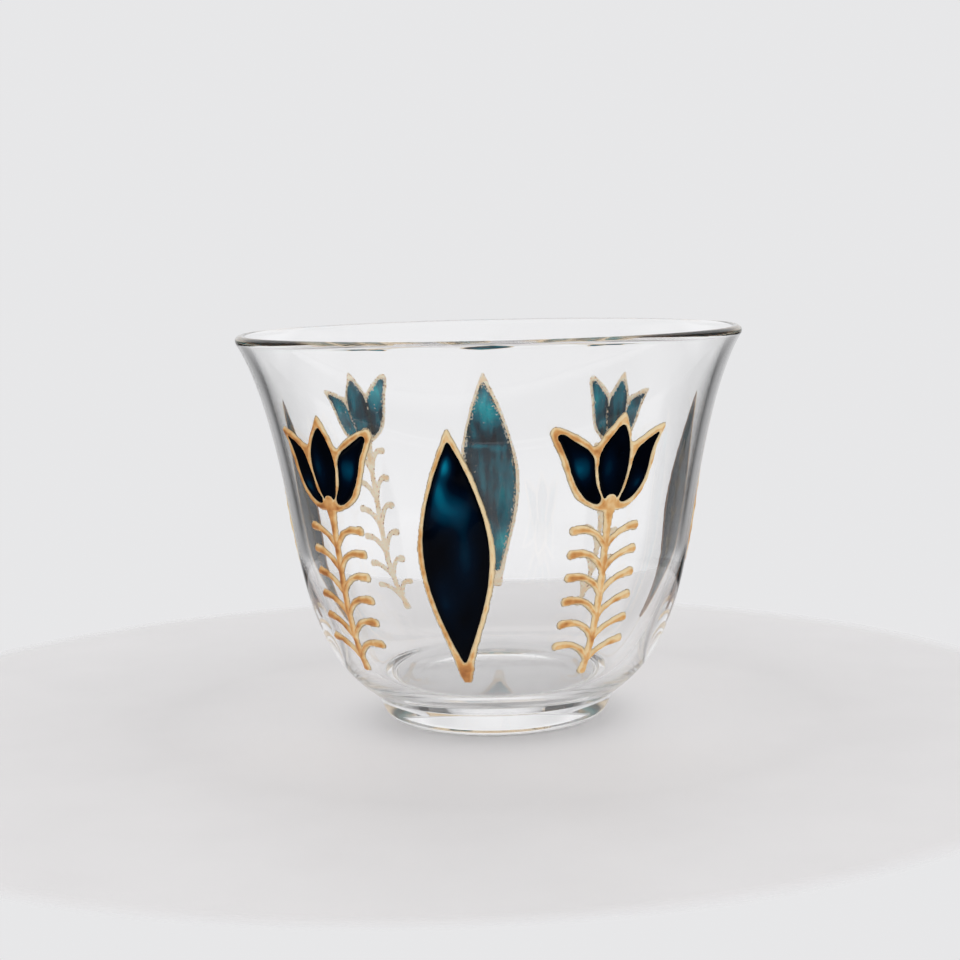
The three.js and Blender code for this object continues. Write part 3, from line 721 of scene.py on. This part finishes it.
def gold_outside():
    """Gold paint: orange along the crest with darker brush marks, cream where it thins out at its edges,
    which is partly a painted highlight along them.
    """
    material, nodes, links, shader = new_material("gold_line_outside")
    coords = nodes.new("ShaderNodeTexCoord").outputs["Object"]
    # Thin edges of the bead made cream: partly paler thin paint, partly a painted highlight.
    rim = scaled(nodes, links, attribute(nodes, "edge"), low=0.05, high=0.38, to_low=1, to_high=0)
    # The tone holds painted light: cream to the right and on the tulips painted as lit.
    tone_and_light = scaled(nodes, links, attribute(nodes, "tone_and_light"), low=0, high=1, to_low=-0.3, to_high=0.14)
    cloud = noise_at(nodes, links, coords, scale=620, detail=4)
    value = plus(nodes, links, cloud, 1.05, tone_and_light)
    value = plus(nodes, links, rim, 0.42, value)
    colour = ramp_of(nodes, links, value, [
        (0.18, (0.4, 0.14, 0.03)), (0.38, (0.63, 0.28, 0.075)),
        (0.56, (0.79, 0.45, 0.165)), (0.82, (0.92, 0.72, 0.42)),
    ])
    links.new(colour, shader.inputs["Base Color"])
    shader.inputs["Metallic"].default_value = 0.15
    grain = noise_at(nodes, links, coords, scale=3600, detail=3)
    rough = scaled(nodes, links, grain, low=0.3, high=0.7, to_low=0.28, to_high=0.5)
    links.new(rough, shader.inputs["Roughness"])
    bump_from(nodes, links, grain, shader, strength=0.4, distance=0.00004)
    return material


def gold_behind_glass():
    """The flat back of the gold line, seen through the glass: cream, with brown and white specks at its
    edges. A painted glow of its own colour stands for the light that soaks through the thin line."""
    material, nodes, links, shader = new_material("gold_line_behind_glass")
    coords = nodes.new("ShaderNodeTexCoord").outputs["Object"]
    flecks = noise_at(nodes, links, coords, scale=2200, detail=3)
    cloud = noise_at(nodes, links, coords, scale=500, detail=3)
    rim = scaled(nodes, links, attribute(nodes, "edge"), low=0, high=0.3, to_low=1, to_high=0)
    base = ramp_of(nodes, links, cloud, [(0.35, (0.86, 0.63, 0.38)), (0.6, (0.94, 0.82, 0.63))])
    specks = ramp_of(nodes, links, flecks, [
        (0.36, (0.4, 0.25, 0.14)), (0.42, (0.88, 0.72, 0.52)),
        (0.58, (0.9, 0.78, 0.6)), (0.64, (0.96, 0.94, 0.9)),
    ])
    colour = mixed(nodes, links, rim, base, specks)
    # Painted shade: where the painted backlight is low, the back of the line is painted dark brown.
    colour = mixed(nodes, links, attribute(nodes, "clear"), (0.16, 0.07, 0.045), colour)
    links.new(colour, shader.inputs["Base Color"])
    # Painted glow: the back coat gives off its own colour as light.
    links.new(colour, shader.inputs["Emission Color"])
    shader.inputs["Emission Strength"].default_value = 0.3
    rough = scaled(nodes, links, flecks, low=0.3, high=0.7, to_low=0.45, to_high=0.7)
    links.new(rough, shader.inputs["Roughness"])
    shader.inputs["Specular IOR Level"].default_value = 0
    return material


def teal_outside():
    """Thick glossy enamel: near black, with a blue-teal glow where light comes through it."""
    material, nodes, links, shader = new_material("teal_paint_outside")
    coords = nodes.new("ShaderNodeTexCoord").outputs["Object"]
    inside = scaled(nodes, links, attribute(nodes, "edge"), low=0.1, high=0.9)
    cloud = noise_at(nodes, links, coords, scale=260, detail=2, stretch=(1, 1, 0.6))
    light = scaled(nodes, links, attribute(nodes, "glow"), low=0, high=1, to_low=-0.1, to_high=0.85)
    value = joined(nodes, links, "MULTIPLY", plus(nodes, links, cloud, 0.22, light), inside)
    colour = ramp_of(nodes, links, value, [
        (0.0, (0.0005, 0.001, 0.0025)), (0.18, (0.0003, 0.004, 0.012)),
        (0.45, (0.0003, 0.032, 0.066)), (0.85, (0.001, 0.17, 0.27)),
    ])
    links.new(colour, shader.inputs["Base Color"])
    gloss = scaled(nodes, links, cloud, low=0.3, high=0.7, to_low=0.05, to_high=0.12)
    links.new(gloss, shader.inputs["Roughness"])
    shader.inputs["Specular IOR Level"].default_value = 0.04
    return material


def teal_behind_glass():
    """The back of the paint, seen through the glass: teal drawn with a brush, lighter where the light soaks
    through, dark between and, along its edges, pale and dark specks."""
    material, nodes, links, shader = new_material("teal_paint_behind_glass")
    coords = nodes.new("ShaderNodeTexCoord").outputs["Object"]
    clouds = noise_at(nodes, links, coords, scale=170, detail=3, stretch=(1, 1, 0.6))
    streaks = noise_at(nodes, links, coords, scale=950, detail=4, stretch=(1, 1, 0.16))
    specks = noise_at(nodes, links, coords, scale=2600, detail=2)
    value = plus(nodes, links, streaks, 0.5, scaled(nodes, links, clouds, 0.3, 0.7, -0.22, 0.2))
    value = plus(nodes, links, attribute(nodes, "shine"), 0.5, value)
    brushed = ramp_of(nodes, links, value, [
        (0.08, (0.0, 0.008, 0.018)), (0.24, (0.0, 0.055, 0.09)), (0.42, (0.0, 0.24, 0.33)),
        (0.6, (0.002, 0.55, 0.64)), (0.95, (0.3, 0.72, 0.72)),
    ])
    broken_edge = ramp_of(nodes, links, streaks, [
        (0.42, (0.01, 0.06, 0.06)), (0.5, (0.85, 0.74, 0.55)), (0.6, (0.92, 0.92, 0.88)),
    ])
    rim = scaled(nodes, links, attribute(nodes, "edge"), low=0.05, high=0.5, to_low=1, to_high=0)
    broken = scaled(nodes, links, plus(nodes, links, rim, 0.24, specks), low=0.69, high=0.75)
    colour = mixed(nodes, links, broken, brushed, broken_edge)
    # Painted shade: where the painted backlight is low, the back of the paint is painted near black.
    colour = mixed(nodes, links, attribute(nodes, "clear"), (0.0, 0.006, 0.012), colour)
    links.new(colour, shader.inputs["Base Color"])
    rough = scaled(nodes, links, specks, low=0.3, high=0.7, to_low=0.5, to_high=0.7)
    links.new(rough, shader.inputs["Roughness"])
    shader.inputs["Specular IOR Level"].default_value = 0
    return material


# The cup
glass = mesh_piece("glass_wall", *revolve(glass_profile(), GLASS_TURNS))
glass.data.materials.append(clear_glass())
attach(glass, "root")
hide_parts("glass_body")

coats = {
    "gold_line": (gold_outside(), gold_behind_glass()),
    "teal_paint": (teal_outside(), teal_behind_glass()),
}
ornament = []
for number, leaf in enumerate(LEAVES):
    ornament += make_leaf(**leaf, seed=LEAF_SEED + SEED_STEP * number)
for number, tulip in enumerate(TULIPS):
    ornament += make_tulip(**tulip, seed=TULIP_SEED + SEED_STEP * number)
for piece, node, slot in ornament:
    for coat in coats[slot]:
        piece.data.materials.append(coat)
    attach(piece, "root")
    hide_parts(node)


# Board
BOARD_CENTRE = (-8, 1)
BOARD_RADIUS = 97.5
BOARD_TOP = -0.05
BOARD_SIDES = 160
BOARD_MELT_START, BOARD_MELT_END = 92.5, 97
BOARD_COLOUR = (0.755, 0.742, 0.737)
MOTTLE_SHARE = 0.97
NEAR_CUP_SHARE = 1.25
NEAR_CUP_START, NEAR_CUP_END = 16, 50


def round_board():
    """Top of a round board: a flat ring with its middle filled, carried round an axis through its centre.
    The fan that would close it underneath is left off."""
    ring = [[0, BOARD_TOP], [BOARD_RADIUS / 2, BOARD_TOP], [BOARD_RADIUS, BOARD_TOP], [0, BOARD_TOP]]
    points, faces = revolve(np.array(ring), BOARD_SIDES)
    points = points + np.array([*BOARD_CENTRE, 0])
    return mesh_piece("round_board", points, faces[:-BOARD_SIDES], smooth=False)


def length_of(nodes, links, vector):
    """Length of a vector."""
    node = nodes.new("ShaderNodeVectorMath")
    node.operation = "LENGTH"
    links.new(vector, node.inputs[0])
    return node.outputs["Value"]


def level_step(nodes, links, coords, centre):
    """Level step from a centre in millimetres to a place in metres, in metres."""
    step = nodes.new("ShaderNodeVectorMath")
    step.operation = "MULTIPLY_ADD"
    links.new(coords, step.inputs[0])
    step.inputs[1].default_value = (1, 1, 0)
    step.inputs[2].default_value = (-centre[0] * MM, -centre[1] * MM, 0)
    return step.outputs["Vector"]


def board_white():
    """Matt pale surface with faint mottling, painted brighter round the cup, where glass gathers light. At its
    edge it melts into the white behind it."""
    material, nodes, links, shader = new_material("board_white")
    coords = nodes.new("ShaderNodeTexCoord").outputs["Object"]
    mottle = noise_at(nodes, links, coords, scale=60, detail=4)
    dark = tuple(MOTTLE_SHARE * part for part in BOARD_COLOUR)
    bright = tuple(NEAR_CUP_SHARE * part for part in BOARD_COLOUR)
    plain = ramp_of(nodes, links, mottle, [(0.3, dark), (0.7, BOARD_COLOUR)])
    from_cup = length_of(nodes, links, coords)
    near = scaled(nodes, links, from_cup, NEAR_CUP_START * MM, NEAR_CUP_END * MM, to_low=1, to_high=0)
    links.new(mixed(nodes, links, near, plain, bright), shader.inputs["Base Color"])
    shader.inputs["Roughness"].default_value = 0.55
    melt = nodes.new("ShaderNodeMixShader")
    from_middle = length_of(nodes, links, level_step(nodes, links, coords, BOARD_CENTRE))
    melted = scaled(nodes, links, from_middle, BOARD_MELT_START * MM, BOARD_MELT_END * MM)
    links.new(melted, melt.inputs["Fac"])
    links.new(shader.outputs["BSDF"], melt.inputs[1])
    links.new(nodes.new("ShaderNodeBsdfTransparent").outputs[0], melt.inputs[2])
    output = next(node for node in nodes if node.type == "OUTPUT_MATERIAL")
    links.new(melt.outputs[0], output.inputs["Surface"])
    return material


board = round_board()
board.data.materials.append(board_white())

# Light of the room
ROOM_WHITE = (0.8, 0.8, 0.81)
EVEN_WHITE = (0.985, 0.985, 1)
DIM = 0.05
THROUGH_GLASS = 1.13
EVEN = 1.05
RISE_WEIGHT = 0.9


def glow(nodes, colour, strength):
    """Light of one colour from all round."""
    background = nodes.new("ShaderNodeBackground")
    background.inputs["Color"].default_value = (*colour, 1)
    background.inputs["Strength"].default_value = strength
    return background.outputs[0]


def blend(nodes, links, share, first, second):
    """The first light where the share is 0 and the second where it is 1."""
    mix = nodes.new("ShaderNodeMixShader")
    links.new(share, mix.inputs["Fac"])
    links.new(first, mix.inputs[1])
    links.new(second, mix.inputs[2])
    return mix.outputs[0]


def studio_world():
    """The camera sees white, and matt surfaces get an even light. Polished ones mirror white straight behind
    the cup and above there, and dimness elsewhere. Through the glass there is white all round, but for two
    dim cards behind the cup on its left and right, and a dim ceiling on the camera's side. Rise and far are
    the parts of a direction upwards and away from the camera, out of a length of one."""
    world = bpy.data.worlds.new("studio")
    world.use_nodes = True
    nodes, links = world.node_tree.nodes, world.node_tree.links
    nodes.clear()
    split = nodes.new("ShaderNodeSeparateXYZ")
    links.new(nodes.new("ShaderNodeTexCoord").outputs["Generated"], split.inputs[0])
    rise, far = split.outputs["Z"], split.outputs["Y"]
    ahead = plus(nodes, links, scaled(nodes, links, rise, low=0, high=1), RISE_WEIGHT, far)
    card_outer = scaled(nodes, links, far, low=0.4, high=0.5)
    card_inner = scaled(nodes, links, far, low=0.8, high=0.98, to_low=1, to_high=0)
    card_foot = scaled(nodes, links, rise, low=-0.3, high=-0.2)
    card_head = scaled(nodes, links, rise, low=0.2, high=0.35, to_low=1, to_high=0)
    card_width = joined(nodes, links, "MULTIPLY", card_outer, card_inner)
    card_height = joined(nodes, links, "MULTIPLY", card_foot, card_head)
    card = joined(nodes, links, "MULTIPLY", card_width, card_height)
    near_side = scaled(nodes, links, far, low=-0.1, high=0.2, to_low=1, to_high=0)
    overhead = scaled(nodes, links, rise, low=0.15, high=0.35)
    ceiling = joined(nodes, links, "MULTIPLY", near_side, overhead)
    shade = joined(nodes, links, "MAXIMUM", card, ceiling)
    white, dim = glow(nodes, ROOM_WHITE, 1), glow(nodes, ROOM_WHITE, DIM)
    even = glow(nodes, EVEN_WHITE, EVEN)
    seen_through = blend(nodes, links, shade, glow(nodes, ROOM_WHITE, THROUGH_GLASS), dim)
    mirrored = blend(nodes, links, scaled(nodes, links, ahead, low=0.9, high=1), dim, white)
    path = nodes.new("ShaderNodeLightPath").outputs
    lit = blend(nodes, links, path["Is Glossy Ray"], even, mirrored)
    lit = blend(nodes, links, path["Is Transmission Ray"], lit, seen_through)
    lit = blend(nodes, links, scaled(nodes, links, path["Diffuse Depth"], low=0, high=1), lit, even)
    surface = nodes.new("ShaderNodeOutputWorld").inputs["Surface"]
    links.new(blend(nodes, links, path["Is Camera Ray"], lit, white), surface)
    return world


def unit_3d(vector):
    """The same direction with a length of one, for three parts."""
    return vector / np.linalg.norm(vector)


def turned_to(right, up, back, place):
    """Placing of a thing whose own X, Y and Z point right, up and back."""
    return Matrix([[right[i], up[i], back[i], place[i]] for i in range(3)] + [[0, 0, 0, 1]])


def soft_lamp(name, place, target, size, power):
    """Square lamp that faces its target. Places and size are in metres and power in watts."""
    lamp = bpy.data.lights.new(name, "AREA")
    lamp.shape = "SQUARE"
    lamp.size = size
    lamp.energy = power
    thing = bpy.data.objects.new(name, lamp)
    back = unit_3d(np.asarray(place, float) - np.asarray(target, float))
    right = unit_3d(np.cross([0, 0, 1.0], back))
    up = np.cross(back, right)
    thing.matrix_world = turned_to(right, up, back, place)
    bpy.context.scene.collection.objects.link(thing)


bpy.context.scene.world = studio_world()
soft_lamp("window_light", place=(0.7, -0.6, 1.0), target=(0, 0, 0.03), size=1.6, power=1.2)

# Camera: its place in metres, its turns, its focal length and the picture's width in pixels, the sensor's
# width in millimetres, and the nearest and furthest that it sees in metres
EYE = (0.0, -0.29443, 0.07095)
YAW, PITCH_DOWN, ROLL = (math.radians(angle) for angle in (-0.333, 6.842, 1.307))
FOCAL_PIXELS = 1972.7
FRAME_PIXELS = 960
SENSOR = 36
CLIP_START, CLIP_END = 0.01, 20


def aim_camera():
    """Camera from its yaw, its pitch below the horizon and its roll."""
    across = math.cos(PITCH_DOWN)
    forward = np.array([math.sin(YAW) * across, math.cos(YAW) * across, -math.sin(PITCH_DOWN)])
    level = np.array([math.cos(YAW), -math.sin(YAW), 0])
    upright = np.cross(level, forward)
    right = math.cos(ROLL) * level - math.sin(ROLL) * upright
    up = math.cos(ROLL) * upright + math.sin(ROLL) * level
    lens = bpy.data.cameras.new("photo_view")
    lens.sensor_width = SENSOR
    lens.sensor_fit = "HORIZONTAL"
    lens.lens = SENSOR * FOCAL_PIXELS / FRAME_PIXELS
    lens.clip_start = CLIP_START
    lens.clip_end = CLIP_END
    camera = bpy.data.objects.new("photo_view", lens)
    camera.matrix_world = turned_to(right, up, -forward, EYE)
    bpy.context.scene.collection.objects.link(camera)
    bpy.context.scene.camera = camera


aim_camera()
bpy.context.scene.view_settings.view_transform = "Standard"
paths = bpy.context.scene.cycles
paths.max_bounces = 40
paths.glossy_bounces = 32
paths.transmission_bounces = 32
paths.diffuse_bounces = 6
